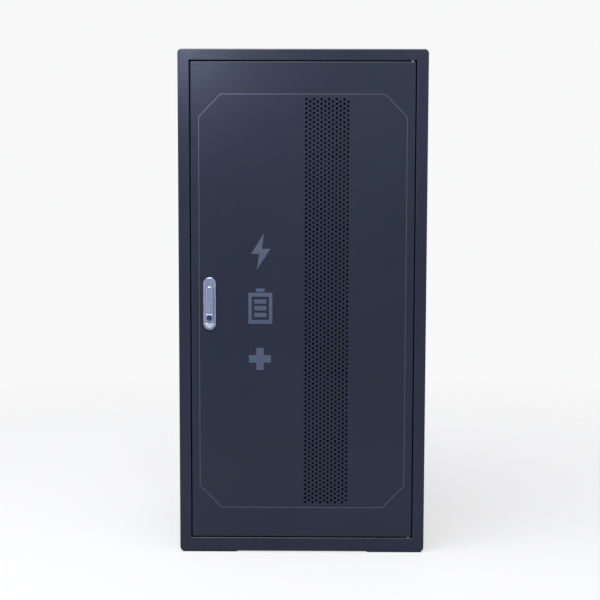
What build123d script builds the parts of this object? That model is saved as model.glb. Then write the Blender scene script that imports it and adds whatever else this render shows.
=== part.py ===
from build123d import *
import os

# Server rack battery: a floor-standing cabinet with six slide-in lithium battery modules.
# Units are millimetres. The origin is the centre of the footprint on the floor, +Z is up,
# the door faces -Y, its hinge is on the +X side and its handle on the -X side.

os.makedirs("parts", exist_ok=True)

# ---- Cabinet shell -------------------------------------------------------------------
CABINET_W = 600.0
CABINET_D = 600.0
CABINET_H = 1225.0
FOOT_T = 2.0                # skid plates under the two sides
FOOT_W = 134.0
FOOT_SIDE_INSET = 6.0       # clear of the rounded lower corners
FOOT_END_INSET = 2.0
FRAME_T = 1.5               # folded front frame and door sheet
SKIN_T = 1.2                # side, top and rear sheet
BASE_T = 2.0                # base pan sheet
CORNER_R = 10.0             # outer corners of the cabinet, seen from the front
FRONT_EDGE_R = 3.0
OPENING_EDGE_R = 2.0
DOOR_EDGE_R = 2.0
FRAME_DEPTH = 38.0          # how far the front frame reaches back
TRAY_LEG = 30.0             # down-turned and up-turned legs of the top panel and base pan
LAP = 15.0                  # width of a joggled lap joint
REAR_FLANGE = 20.0

HALF_W = CABINET_W / 2
HALF_D = CABINET_D / 2
BODY_BOTTOM = FOOT_T
BODY_H = CABINET_H - FOOT_T
BODY_MID = FOOT_T + BODY_H / 2
SHELL_FRONT = FRAME_DEPTH - HALF_D          # y where side, top and base sheets begin
REAR_SKIN = HALF_D - FRAME_T                # y of the rear panel's inner face
SIDE_BOTTOM = BODY_BOTTOM + TRAY_LEG
SIDE_TOP = CABINET_H - TRAY_LEG

# ---- Door and its opening ------------------------------------------------------------
OPENING_W = 544.0
OPENING_BOTTOM = 36.0
OPENING_TOP = 1197.5
DOOR_GAP = 2.5
STOP_DEPTH = 28.5           # front face to the back of the stop lip
STOP_LIP = 14.0
DOOR_FRONT = 299.0          # distance of the door's skin in front of the origin
DOOR_DEPTH = 22.0
DOOR_RETURN = 14.0
SEAL_W = 8.0
SEAL_OUTER_X = 264.0
HINGE_X = 262.0
HINGE_Y = -294.0
HINGE_PIN_R = 3.0
HINGE_HEAD_R = 4.2
RUNNING_GAP = 0.05

OPENING_H = OPENING_TOP - OPENING_BOTTOM
OPENING_MID = (OPENING_TOP + OPENING_BOTTOM) / 2
DOOR_W = OPENING_W - 2 * DOOR_GAP
DOOR_H = OPENING_H - 2 * DOOR_GAP
DOOR_BOTTOM = OPENING_BOTTOM + DOOR_GAP
DOOR_TOP = OPENING_TOP - DOOR_GAP
DOOR_BACK = DOOR_FRONT - DOOR_DEPTH

# ---- Perforated strip of the door -----------------------------------------------------
VENT_HOLE_R = 3.1
VENT_FIRST_X = 8.2
VENT_COLUMN_STEP = 9.1
VENT_ROW_STEP = 10.9
VENT_COLUMNS = 12
VENT_ROWS = 91
VENT_MID_Z = 615.5

# ---- Handle and lock ------------------------------------------------------------------
HANDLE_X = -224.7
HANDLE_Z = 614.7
PLATE_W = 30.0
PLATE_H = 127.4
PLATE_T = 4.5
PLATE_RIM = 3.8
POCKET_D = 1.5              # shallow pocket inside the handle plate's rim
SPINDLE_Z = 645.0
ROTOR_R = 11.0
SPINDLE_R = 6.0
LEVER_PIN_Z = 651.0
LEVER_PIN_Y = -308.2
LEVER_PIN_R = 2.0
PIN_HALF = 7.0              # half the length of the lever's pin
LEVER_W = 17.4
LEVER_TOP = 657.0
LEVER_BOTTOM = 573.0
LEVER_BACK = 305.0
LEVER_FRONT = 312.4
LUG_W = 7.0
LUG_R = 3.0
LUG_GAP = 0.2
LOCK_Z = 580.7
LOCK_R = 6.8
LOCK_BOSS_W = 18.4          # square block around the lock cylinder, at the lever's lower end
LOCK_FRONT = 313.0
BUTTON_Z = 559.5            # stem of the release button
BUTTON_TOP = 568.0
BUTTON_MID = HANDLE_Z - PLATE_H / 2 + PLATE_W / 2
BUTTON_R = 10.2
BUTTON_T = 2.9
BUTTON_STEM_R = 3.0
STEM_HOLE_R = 4.5
RELEASE_TRAVEL = 2.0
CAM_Y = -270.5
CAM_T = 3.0
CAM_REACH = 43.3
CAM_W = 18.0

# ---- Nineteen-inch rack ---------------------------------------------------------------
UNIT = 44.45
MODULES = 6
MODULE_UNITS = 4
STACK_BOTTOM = OPENING_MID - MODULES * MODULE_UNITS * UNIT / 2
RAIL_FACE = 225.0           # mounting plane, in front of and behind the origin
RAIL_T = 2.0
RAIL_INNER = 225.0
RAIL_OUTER = 262.0
RAIL_WEB_D = 40.0
RACK_HOLE_X = 232.55
RACK_HOLE = 9.5
EAR_W = 482.6
PANEL_H = 170.0
PANEL_T = 2.0
CASE_W = 442.0
CASE_H = 160.0
CASE_D = 450.0
CASE_T = 1.5
EAR_SCREW_Z = 50.8          # rack screws above and below a module's middle
MODULE_PITCH = MODULE_UNITS * UNIT
MODULE_Z = [STACK_BOTTOM + MODULE_PITCH * (n + 0.5) for n in range(MODULES)]
PANEL_FRONT = -RAIL_FACE - PANEL_T          # y of the battery fronts

# ---- Battery module front -------------------------------------------------------------
TERMINAL_X = 165.0
TERMINAL_Z = 50.0           # above the module's middle
TERMINAL_R = 13.0
GRIP_X = 205.0
GRIP_R = 5.0
GRIP_SPAN = 80.0
GRIP_Z = -12.0
GRIP_Y = -251.0
BREAKER_X = -95.0
BREAKER_W = 40.0
BREAKER_H = 68.0
TOGGLE_R = 8.0
TOGGLE_W = 18.0
TOGGLE_TILT = 22.0
TOGGLE_Y = -229.0
DISPLAY_X = -25.0
DISPLAY_W = 62.0
DISPLAY_H = 30.0
DISPLAY_Z = 22.0
PORT_IN_X = 42.0
PORT_OUT_X = 62.0
PORT_Z = -30.0
PORT_W = 16.0
PORT_H = 14.0
PLUG_W = 11.7
PLUG_H = 8.3
POWER_X = 120.0
POWER_Z = 0.0
POWER_R = 7.0
POWER_COLLAR_R = 10.5

# ---- Cells ----------------------------------------------------------------------------
CELL_W = 160.0
CELL_D = 48.0
CELL_H = 118.0
CELL_FRONT_Y = -167.0
CELL_GAP = 0.6
CELLS_PER_ROW = 8

# ---- Busbars and leads ----------------------------------------------------------------
BAR_X = 275.0               # inner face of each vertical busbar
BAR_T = 6.0
BAR_FRONT_Y = -262.0
BAR_W = 30.0
BAR_BOTTOM = 100.0
BAR_TOP = 1160.0
POST_Z = [150.0, 470.0, 790.0, 1110.0]
LEAD_R = 5.0
LEAD_Y = -246.0
PLUG_FRONT = -257.0
LEAD_START_X = 189.0
LEAD_X = 267.5
LEAD_DROP = 60.0
LEAD_BEND_R = 42.0
LUG_T = 3.0
STUD_DROP = 92.0
STUD_R = 4.0
COMM_R = 2.75
COMM_BEND_R = 16.0
COMM_OUT_Y = -264.0
PLUG_END_Y = -245.0

# ---- Cable entry ----------------------------------------------------------------------
ENTRY_Z = 1120.0
POWER_BORE_R = 16.0
POWER_BORE_X = 150.0
DATA_BORE_R = 8.0
DATA_BORE_X = 50.0
GROMMET_WALL = 4.0
BOLT_X = 235.0              # floor bolts
BOLT_Y = 150.0
BOLT_R = 6.5


def block(x, y, z, mode=Mode.ADD):
    """A box between the low and high ends given for X, Y and Z."""
    with Locations(((x[0] + x[1]) / 2, (y[0] + y[1]) / 2, (z[0] + z[1]) / 2)):
        Box(x[1] - x[0], y[1] - y[0], z[1] - z[0], mode=mode)


def rod(centre, radius, y, mode=Mode.ADD):
    """A round bar along Y at centre (x, z), between the two y values."""
    with BuildSketch(Plane.XZ.offset(-y[0])) as outline:
        with Locations(centre):
            Circle(radius)
    extrude(outline.sketch, amount=y[0] - y[1], mode=mode)


def rod_x(centre, radius, x, mode=Mode.ADD):
    """A round bar along X at centre (y, z), between the two x values."""
    with BuildSketch(Plane.YZ.offset(x[0])) as outline:
        with Locations(centre):
            Circle(radius)
    extrude(outline.sketch, amount=x[1] - x[0], mode=mode)


def rod_z(centre, radius, z, mode=Mode.ADD):
    """A round bar along Z at centre (x, y), between the two z values."""
    with BuildSketch(Plane.XY.offset(z[0])) as outline:
        with Locations(centre):
            Circle(radius)
    extrude(outline.sketch, amount=z[1] - z[0], mode=mode)


def front_plate(width, height, radius, middle, y, mode=Mode.ADD):
    """A rounded plate seen from the front, centred on x=0, between the two y values."""
    with BuildSketch(Plane.XZ.offset(-y[0])) as outline:
        with Locations((0, middle)):
            RectangleRounded(width, height, radius)
    extrude(outline.sketch, amount=y[0] - y[1], mode=mode)


def span(side, near, far):
    """The x range from near to far on one side of the cabinet, -1 left or +1 right."""
    return sorted((side * near, side * far))


# ======================================================================================
# Cabinet shell
# ======================================================================================

with BuildPart() as front_frame:
    front_plate(CABINET_W, BODY_H, CORNER_R, BODY_MID, (-HALF_D, SHELL_FRONT))
    fillet(front_frame.faces().sort_by(Axis.Y)[0].edges(), FRONT_EDGE_R)
    front_plate(
        CABINET_W - 2 * FRAME_T, BODY_H - 2 * FRAME_T, CORNER_R - FRAME_T, BODY_MID,
        (FRAME_T - HALF_D, SHELL_FRONT), Mode.SUBTRACT,
    )
    # inner wall of the channel, around the door opening
    block(
        span(1, -OPENING_W / 2 - FRAME_T, OPENING_W / 2 + FRAME_T),
        (-HALF_D, STOP_DEPTH - HALF_D),
        (OPENING_BOTTOM - FRAME_T, OPENING_TOP + FRAME_T),
    )
    block(
        (-OPENING_W / 2, OPENING_W / 2),
        (-HALF_D, STOP_DEPTH - FRAME_T - HALF_D),
        (OPENING_BOTTOM, OPENING_TOP), Mode.SUBTRACT,
    )
    # rounded edge of the folded sheet around the opening
    opening_edges = front_frame.faces().sort_by(Axis.Y)[0].inner_wires()[0].edges()
    fillet(opening_edges, OPENING_EDGE_R)
    # the stop lip is what this window leaves of the channel's back wall
    block(
        (STOP_LIP - OPENING_W / 2, OPENING_W / 2 - STOP_LIP),
        (-HALF_D, SHELL_FRONT),
        (OPENING_BOTTOM + STOP_LIP, OPENING_TOP - STOP_LIP), Mode.SUBTRACT,
    )
    # notch in the lip that the latch cam passes as the door swings
    block(
        (-OPENING_W / 2, STOP_LIP - OPENING_W / 2),
        (STOP_DEPTH - 2 * FRAME_T - HALF_D, STOP_DEPTH + 1 - HALF_D),
        (SPINDLE_Z - CAM_W, SPINDLE_Z + CAM_W), Mode.SUBTRACT,
    )
    for wall in ((OPENING_BOTTOM - FRAME_T, OPENING_BOTTOM), (OPENING_TOP, OPENING_TOP + FRAME_T)):
        rod_z((HINGE_X, HINGE_Y), HINGE_PIN_R, wall, Mode.SUBTRACT)
front_frame.part.label = "front_frame"
export_step(front_frame.part, "parts/front_frame.step")

for side, side_name in ((-1, "left"), (1, "right")):
    with BuildPart() as side_panel:
        outer = HALF_W
        inner = HALF_W - SKIN_T
        block(span(side, inner, outer), (SHELL_FRONT, REAR_SKIN), (SIDE_BOTTOM, SIDE_TOP))
        # front lap, tucked inside the front frame's outer wall
        frame_inner = HALF_W - FRAME_T
        block(span(side, frame_inner - SKIN_T, outer), (SHELL_FRONT, SHELL_FRONT + SKIN_T),
              (SIDE_BOTTOM, SIDE_TOP))
        block(span(side, frame_inner - SKIN_T, frame_inner), (SHELL_FRONT - LAP, SHELL_FRONT),
              (SIDE_BOTTOM, SIDE_TOP))
        # rear return flange that the rear panel is screwed to
        block(span(side, HALF_W - REAR_FLANGE, outer), (REAR_SKIN - SKIN_T, REAR_SKIN),
              (SIDE_BOTTOM, SIDE_TOP))
        # top lap inside the top panel's leg, bottom lap inside the base pan's leg
        block(span(side, inner - SKIN_T, outer), (SHELL_FRONT, REAR_SKIN - SKIN_T),
              (SIDE_TOP - SKIN_T, SIDE_TOP))
        block(span(side, inner - SKIN_T, inner), (SHELL_FRONT, REAR_SKIN - REAR_FLANGE),
              (SIDE_TOP, SIDE_TOP + LAP))
        base_inner = HALF_W - BASE_T
        block(span(side, base_inner - SKIN_T, outer), (SHELL_FRONT, REAR_SKIN - SKIN_T),
              (SIDE_BOTTOM, SIDE_BOTTOM + SKIN_T))
        block(span(side, base_inner - SKIN_T, base_inner), (SHELL_FRONT, REAR_SKIN - REAR_FLANGE),
              (SIDE_BOTTOM - LAP, SIDE_BOTTOM))
    side_panel.part.label = f"{side_name}_side_panel"
    export_step(side_panel.part, f"parts/{side_name}_side_panel.step")


def tray(thickness):
    """The whole outline of the shell as a closed hollow block, for cutting a tray from."""
    front_plate(CABINET_W, BODY_H, CORNER_R, BODY_MID, (SHELL_FRONT, REAR_SKIN))
    front_plate(
        CABINET_W - 2 * thickness, BODY_H - 2 * thickness, CORNER_R - thickness, BODY_MID,
        (SHELL_FRONT, REAR_SKIN - thickness), Mode.SUBTRACT,
    )


with BuildPart() as top_panel:
    tray(SKIN_T)
    block((-HALF_W, HALF_W), (-HALF_D, HALF_D), (0, SIDE_TOP), Mode.SUBTRACT)
    block((REAR_FLANGE - HALF_W, HALF_W - REAR_FLANGE), (0, HALF_D),
          (SIDE_TOP, CABINET_H - REAR_FLANGE), Mode.SUBTRACT)
    # front lap, joined to the front frame's top wall
    lap_top = CABINET_H - FRAME_T
    block((REAR_FLANGE - HALF_W, HALF_W - REAR_FLANGE), (SHELL_FRONT - LAP, SHELL_FRONT + SKIN_T),
          (lap_top - SKIN_T, lap_top))
    block((REAR_FLANGE - HALF_W, HALF_W - REAR_FLANGE), (SHELL_FRONT, SHELL_FRONT + SKIN_T),
          (lap_top - SKIN_T, CABINET_H))
top_panel.part.label = "top_panel"
export_step(top_panel.part, "parts/top_panel.step")

with BuildPart() as base_pan:
    tray(BASE_T)
    block((-HALF_W, HALF_W), (-HALF_D, HALF_D), (SIDE_BOTTOM, CABINET_H), Mode.SUBTRACT)
    block((REAR_FLANGE - HALF_W, HALF_W - REAR_FLANGE), (0, HALF_D),
          (BODY_BOTTOM + REAR_FLANGE, SIDE_BOTTOM), Mode.SUBTRACT)
    lap_bottom = BODY_BOTTOM + FRAME_T
    block((REAR_FLANGE - HALF_W, HALF_W - REAR_FLANGE), (SHELL_FRONT - LAP, SHELL_FRONT + BASE_T),
          (lap_bottom, lap_bottom + BASE_T))
    with Locations((0, 0, BODY_BOTTOM + BASE_T / 2)):
        with GridLocations(2 * BOLT_X, 2 * BOLT_Y, 2, 2):
            Cylinder(BOLT_R, 2 * BASE_T, mode=Mode.SUBTRACT)
base_pan.part.label = "base_pan"
export_step(base_pan.part, "parts/base_pan.step")

with BuildPart() as foot_plates:
    for side in (-1, 1):
        outer_edge = HALF_W - FOOT_SIDE_INSET
        block(span(side, outer_edge - FOOT_W, outer_edge),
              (FOOT_END_INSET - HALF_D, HALF_D - FOOT_END_INSET), (0, FOOT_T))
    with Locations((0, 0, FOOT_T / 2)):
        with GridLocations(2 * BOLT_X, 2 * BOLT_Y, 2, 2):
            Cylinder(BOLT_R, 2 * FOOT_T, mode=Mode.SUBTRACT)
foot_plates.part.label = "foot_plates"
export_step(foot_plates.part, "parts/foot_plates.step")

# Rear panel: screwed on, with slots behind the five lower modules and a cut-out for the cables
ENTRY_W = 400.0
ENTRY_H = 70.0
SLOT_W = 80.0
SLOT_H = 5.0
SLOT_STEP = 14.0
SLOT_COLUMNS = 4
SLOT_ROWS = 8               # in each group of slots, level with a module
SCREW_EDGE = 10.0
SCREW_HEAD_R = 4.6
SCREW_R = 2.5
REAR_SCREWS = [
    (x, z)
    for x in (SCREW_EDGE - HALF_W, HALF_W - SCREW_EDGE)
    for z in (60.0, 330.0, 600.0, 870.0, 1140.0)
] + [
    (x, z)
    for x in (-180.0, 0.0, 180.0)
    for z in (BODY_BOTTOM + SCREW_EDGE + 1, CABINET_H - SCREW_EDGE - 1)
]

with BuildPart() as rear_panel:
    front_plate(CABINET_W, BODY_H, CORNER_R, BODY_MID, (REAR_SKIN, HALF_D))
    block((-ENTRY_W / 2, ENTRY_W / 2), (REAR_SKIN - 1, HALF_D + 1),
          (ENTRY_Z - ENTRY_H / 2, ENTRY_Z + ENTRY_H / 2), Mode.SUBTRACT)
    for position in REAR_SCREWS:
        rod(position, SCREW_R, (REAR_SKIN, HALF_D), Mode.SUBTRACT)
        rod(position, SCREW_HEAD_R, (HALF_D - 1.0, HALF_D), Mode.SUBTRACT)
    with BuildSketch(Plane.XZ.offset(-HALF_D)) as louvre_slots:
        for group_z in MODULE_Z[:-1]:
            with Locations((0, group_z)):
                with GridLocations(1.5 * SLOT_W, SLOT_STEP, SLOT_COLUMNS, SLOT_ROWS):
                    SlotOverall(SLOT_W, SLOT_H)
    extrude(amount=2 * FRAME_T, mode=Mode.SUBTRACT)
rear_panel.part.label = "rear_panel"
export_step(rear_panel.part, "parts/rear_panel.step")

# Low-profile screws that hold the rear panel and the cable entry plate, heads let in flush
with BuildPart() as panel_screws:
    for position in REAR_SCREWS:
        rod(position, SCREW_HEAD_R, (HALF_D - 1.0, HALF_D))
        rod(position, SCREW_R, (REAR_SKIN, HALF_D - 1.0))
panel_screws.part.label = "panel_screws"
export_step(panel_screws.part, "parts/panel_screws.step")

# Cable entry plate behind the cut-out, with rubber grommets for the outgoing cables
ENTRY_HOLES = [(side * POWER_BORE_X, POWER_BORE_R) for side in (-1, 1)]
ENTRY_HOLES += [(side * DATA_BORE_X, DATA_BORE_R) for side in (-1, 1)]
ENTRY_LAP = 15.0
ENTRY_T = 2.0

with BuildPart() as entry_plate:
    front_plate(ENTRY_W + 2 * ENTRY_LAP, ENTRY_H + 2 * ENTRY_LAP, 6.0, ENTRY_Z,
                (REAR_SKIN - ENTRY_T, REAR_SKIN))
    for hole_x, bore_r in ENTRY_HOLES:
        rod((hole_x, ENTRY_Z), bore_r + GROMMET_WALL, (REAR_SKIN - ENTRY_T, REAR_SKIN), Mode.SUBTRACT)
entry_plate.part.label = "entry_plate"
export_step(entry_plate.part, "parts/entry_plate.step")

with BuildPart() as cable_grommets:
    for hole_x, bore_r in ENTRY_HOLES:
        centre = (hole_x, ENTRY_Z)
        rod(centre, bore_r + GROMMET_WALL, (REAR_SKIN - ENTRY_T, REAR_SKIN))
        rod(centre, bore_r + 2 * GROMMET_WALL, (REAR_SKIN, HALF_D))
        rod(centre, bore_r + 2 * GROMMET_WALL, (REAR_SKIN - ENTRY_T - 3.0, REAR_SKIN - ENTRY_T))
        rod(centre, bore_r, (REAR_SKIN - ENTRY_T - 3.0, HALF_D), Mode.SUBTRACT)
cable_grommets.part.label = "cable_grommets"
export_step(cable_grommets.part, "parts/cable_grommets.step")

# ======================================================================================
# Nineteen-inch rails and module supports
# ======================================================================================


def rail_pair(facing):
    """Two L-section rails with square holes; facing is -1 for the front pair, +1 for the rear."""
    face = facing * RAIL_FACE
    back = facing * (RAIL_FACE - RAIL_T)
    web_end = facing * (RAIL_FACE - RAIL_WEB_D)
    low = BODY_BOTTOM + BASE_T
    high = CABINET_H - SKIN_T
    for side in (-1, 1):
        block(span(side, RAIL_INNER, RAIL_OUTER), sorted((face, back)), (low, high))
        block(span(side, RAIL_OUTER - RAIL_T, RAIL_OUTER), sorted((face, web_end)), (low, high))
        # feet turned over onto the base pan and the top panel
        block(span(side, RAIL_INNER, RAIL_OUTER), sorted((face, web_end)), (low, low + RAIL_T))
        block(span(side, RAIL_INNER, RAIL_OUTER), sorted((face, web_end)), (high - RAIL_T, high))
    with BuildSketch(Plane.XZ.offset(-face)) as square_holes:
        for step in (-15.875, 0, 15.875):
            with Locations((0, OPENING_MID + step)):
                with GridLocations(2 * RACK_HOLE_X, UNIT, 2, MODULES * MODULE_UNITS):
                    Rectangle(RACK_HOLE, RACK_HOLE)
    extrude(square_holes.sketch, amount=facing * RAIL_T, mode=Mode.SUBTRACT)


with BuildPart() as front_rails:
    rail_pair(-1)
front_rails.part.label = "front_rails"
export_step(front_rails.part, "parts/front_rails.step")

with BuildPart() as rear_rails:
    rail_pair(1)
rear_rails.part.label = "rear_rails"
export_step(rear_rails.part, "parts/rear_rails.step")

# L-section runners that carry the modules, with end tabs bolted behind the rail flanges
RUNNER_T = 2.0
RUNNER_WEB_X = 225.5
RUNNER_LEG = 30.0
RUNNER_WEB_H = 21.0
RUNNER_TAB_X = 258.0
SEAT = -CASE_H / 2          # where a module rests, below its middle
RAIL_BACK = RAIL_FACE - RAIL_T


def at_every_module(single):
    """Copies of one module's piece, which is drawn with the module's middle at z=0."""
    with Locations(*[(0, 0, middle) for middle in MODULE_Z]):
        add(single.part)


with BuildPart() as runner_pair:
    for side in (-1, 1):
        block(span(side, RUNNER_WEB_X - RUNNER_LEG, RUNNER_WEB_X), (-RAIL_BACK, RAIL_BACK),
              (SEAT - RUNNER_T, SEAT))
        block(span(side, RUNNER_WEB_X - RUNNER_T, RUNNER_WEB_X), (-RAIL_BACK, RAIL_BACK),
              (SEAT - RUNNER_T, SEAT + RUNNER_WEB_H))
        for end in (-1, 1):
            block(span(side, RUNNER_WEB_X - RUNNER_T, RUNNER_TAB_X),
                  sorted((end * RAIL_BACK, end * (RAIL_BACK - RUNNER_T))),
                  (SEAT - RUNNER_T, SEAT + RUNNER_WEB_H))

with BuildPart() as slot_runners:
    at_every_module(runner_pair)
slot_runners.part.label = "slot_runners"
export_step(slot_runners.part, "parts/slot_runners.step")

# ======================================================================================
# Battery modules
# ======================================================================================

with BuildPart() as battery_case:
    block((-CASE_W / 2, CASE_W / 2), (-RAIL_FACE, CASE_D - RAIL_FACE), (SEAT, SEAT + CASE_H))
    block((CASE_T - CASE_W / 2, CASE_W / 2 - CASE_T), (-RAIL_FACE, CASE_D - RAIL_FACE - CASE_T),
          (SEAT + CASE_T, SEAT + CASE_H - CASE_T), Mode.SUBTRACT)

with BuildPart() as battery_cases:
    at_every_module(battery_case)
battery_cases.part.label = "battery_cases"
export_step(battery_cases.part, "parts/battery_cases.step")

TERMINAL_NECK_R = 11.0
EAR_SLOT_R = 3.4
BREAKER_Z = -4.0

with BuildPart() as battery_front:
    front_plate(EAR_W, PANEL_H, 2.0, 0, (PANEL_FRONT, -RAIL_FACE))
    with BuildSketch(Plane.XZ.offset(-PANEL_FRONT)) as cut_outs:
        with GridLocations(2 * RACK_HOLE_X, 2 * EAR_SCREW_Z, 2, 2):
            SlotOverall(3 * EAR_SLOT_R, 2 * EAR_SLOT_R)
        with Locations((-TERMINAL_X, TERMINAL_Z), (TERMINAL_X, TERMINAL_Z)):
            Circle(TERMINAL_NECK_R)
        with Locations((BREAKER_X, BREAKER_Z)):
            Rectangle(BREAKER_W - 6, BREAKER_H - 6)
        with Locations((DISPLAY_X, DISPLAY_Z)):
            Rectangle(DISPLAY_W - 8, DISPLAY_H - 8)
        with Locations((PORT_IN_X, PORT_Z), (PORT_OUT_X, PORT_Z)):
            Rectangle(PORT_W, PORT_H)
        with Locations((POWER_X, POWER_Z)):
            Circle(POWER_R + 1.5)
    extrude(amount=-PANEL_T, mode=Mode.SUBTRACT)

with BuildPart() as battery_fronts:
    at_every_module(battery_front)
battery_fronts.part.label = "battery_fronts"
export_step(battery_fronts.part, "parts/battery_fronts.step")

# Sixteen prismatic cells a module, in two rows of eight, each with its two posts
CELL_FLOOR = SEAT + CASE_T
CELL_MID_Y = CELL_FRONT_Y + CELLS_PER_ROW * CELL_D / 2

with BuildPart() as cell_pack:
    with BuildSketch(Plane.XY.offset(CELL_FLOOR)) as cell_outlines:
        with Locations((0, CELL_MID_Y)):
            with GridLocations(CELL_W, CELL_D, 2, CELLS_PER_ROW):
                Rectangle(CELL_W - CELL_GAP, CELL_D - CELL_GAP)
    extrude(amount=CELL_H)
    with BuildSketch(Plane.XY.offset(CELL_FLOOR + CELL_H)) as cell_posts:
        for post in (-1, 1):
            with Locations((post * CELL_W / 3, CELL_MID_Y)):
                with GridLocations(CELL_W, CELL_D, 2, CELLS_PER_ROW):
                    Circle(8.0)
    extrude(amount=3.0)

with BuildPart() as cell_packs:
    at_every_module(cell_pack)
cell_packs.part.label = "cell_packs"
export_step(cell_packs.part, "parts/cell_packs.step")

# Battery management board: circuit board, four standoffs and a finned heat sink
BOARD_X = (-60.0, 98.0)
BOARD_Y = -206.0
BOARD_T = 1.6
BOARD_HALF_H = 52.0
BOARD_BACK = BOARD_Y + BOARD_T
STANDOFF_EDGE = 6.0

with BuildPart() as bms_board:
    block(BOARD_X, (BOARD_Y, BOARD_BACK), (-BOARD_HALF_H, BOARD_HALF_H))
    for standoff_x in (BOARD_X[0] + STANDOFF_EDGE, BOARD_X[1] - STANDOFF_EDGE):
        for standoff_z in (STANDOFF_EDGE - BOARD_HALF_H, BOARD_HALF_H - STANDOFF_EDGE):
            rod((standoff_x, standoff_z), 3.0, (-RAIL_FACE, BOARD_Y))
    block((-40, 40), (BOARD_BACK, BOARD_BACK + 4), (-30, 30))
    for fin in range(7):
        block((-40, 40), (BOARD_BACK + 4, BOARD_BACK + 18), (fin * 9 - 29, fin * 9 - 27))

with BuildPart() as bms_boards:
    at_every_module(bms_board)
bms_boards.part.label = "bms_boards"
export_step(bms_boards.part, "parts/bms_boards.step")

# Grab handles: a bent round bar with a mounting foot at each end
with BuildPart() as grip_pair:
    for side in (-1, 1):
        x = side * GRIP_X
        low = GRIP_Z - GRIP_SPAN / 2
        high = GRIP_Z + GRIP_SPAN / 2
        with BuildLine() as grip_path:
            FilletPolyline((x, PANEL_FRONT, low), (x, GRIP_Y, low), (x, GRIP_Y, high),
                           (x, PANEL_FRONT, high), radius=12.0)
        with BuildSketch(Plane(origin=(x, PANEL_FRONT, low), z_dir=(0, -1, 0))) as grip_round:
            Circle(GRIP_R)
        sweep(path=grip_path.wires()[0])
        for foot_z in (low, high):
            rod((x, foot_z), GRIP_R + 2.5, (PANEL_FRONT - 2.5, PANEL_FRONT))

with BuildPart() as battery_handles:
    at_every_module(grip_pair)
battery_handles.part.label = "battery_handles"
export_step(battery_handles.part, "parts/battery_handles.step")

# Panel-mounted power sockets: flange, neck and a body inside the case
for side, polarity in ((1, "positive"), (-1, "negative")):
    with BuildPart() as socket:
        centre = (side * TERMINAL_X, TERMINAL_Z)
        rod(centre, TERMINAL_R + 2, (PANEL_FRONT - 3.0, PANEL_FRONT))
        rod(centre, TERMINAL_NECK_R, (PANEL_FRONT, -RAIL_FACE))
        rod(centre, TERMINAL_R, (-RAIL_FACE, -RAIL_FACE + 26.0))
    with BuildPart() as terminals:
        at_every_module(socket)
    terminals.part.label = f"{polarity}_terminals"
    export_step(terminals.part, f"parts/{polarity}_terminals.step")

# Circuit breakers: a body through the panel with a round pocket that the toggle turns in
BREAKER_FRONT = -235.0
BREAKER_NOSE = 3.0
POCKET_GAP = 0.3

with BuildPart() as breaker_body:
    half_w = BREAKER_W / 2
    half_h = BREAKER_H / 2
    block((BREAKER_X - half_w, BREAKER_X + half_w), (BREAKER_FRONT + BREAKER_NOSE, PANEL_FRONT),
          (BREAKER_Z - half_h, BREAKER_Z + half_h))
    block((BREAKER_X - half_w + 3, BREAKER_X + half_w - 3), (PANEL_FRONT, -175.0),
          (BREAKER_Z - half_h + 3, BREAKER_Z + half_h - 3))
    block((BREAKER_X - half_w + 5, BREAKER_X + half_w - 5), (BREAKER_FRONT, BREAKER_FRONT + BREAKER_NOSE),
          (BREAKER_Z - 22.5, BREAKER_Z + 22.5))
    pocket_x = (BREAKER_X - TOGGLE_W / 2 - POCKET_GAP, BREAKER_X + TOGGLE_W / 2 + POCKET_GAP)
    rod_x((TOGGLE_Y, BREAKER_Z), TOGGLE_R + POCKET_GAP, pocket_x, Mode.SUBTRACT)
    block(pocket_x, (BREAKER_FRONT - 1, TOGGLE_Y),
          (BREAKER_Z - TOGGLE_R - POCKET_GAP, BREAKER_Z + TOGGLE_R + POCKET_GAP), Mode.SUBTRACT)
    rod_x((TOGGLE_Y, BREAKER_Z), 2.0, pocket_x)

with BuildPart() as breaker_bodies:
    at_every_module(breaker_body)
breaker_bodies.part.label = "breaker_bodies"
export_step(breaker_bodies.part, "parts/breaker_bodies.step")

# Toggles: a hub on the breaker's pivot and a paddle, tilted up in the ON position
PADDLE_REACH = 17.0
PADDLE_T = 5.0

for number, middle in enumerate(MODULE_Z, start=1):
    pivot = (BREAKER_X, TOGGLE_Y, middle + BREAKER_Z)
    with BuildPart() as breaker_toggle:
        with BuildSketch(Plane(origin=pivot, x_dir=(0, -1, 0), z_dir=(1, 0, 0))) as toggle_side:
            Circle(TOGGLE_R)
            with Locations(Rotation(0, 0, -TOGGLE_TILT)):
                with Locations((PADDLE_REACH / 2, 0)):
                    Rectangle(PADDLE_REACH, PADDLE_T)
            Circle(2.0 + RUNNING_GAP, mode=Mode.SUBTRACT)
        extrude(amount=TOGGLE_W / 2, both=True)
    breaker_toggle.part.label = f"breaker_toggle_{number}"
    export_step(breaker_toggle.part, f"parts/breaker_toggle_{number}.step")

# Status displays: bezel, body behind the panel and a shallow window
with BuildPart() as status_display:
    half_w = DISPLAY_W / 2
    half_h = DISPLAY_H / 2
    block((DISPLAY_X - half_w, DISPLAY_X + half_w), (PANEL_FRONT - 3, PANEL_FRONT),
          (DISPLAY_Z - half_h, DISPLAY_Z + half_h))
    block((DISPLAY_X - half_w + 4, DISPLAY_X + half_w - 4), (PANEL_FRONT, -212.0),
          (DISPLAY_Z - half_h + 4, DISPLAY_Z + half_h - 4))
    block((DISPLAY_X - half_w + 5, DISPLAY_X + half_w - 5), (PANEL_FRONT - 4, PANEL_FRONT - 2),
          (DISPLAY_Z - half_h + 5, DISPLAY_Z + half_h - 5), Mode.SUBTRACT)

with BuildPart() as status_displays:
    at_every_module(status_display)
status_displays.part.label = "status_displays"
export_step(status_displays.part, "parts/status_displays.step")

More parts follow.
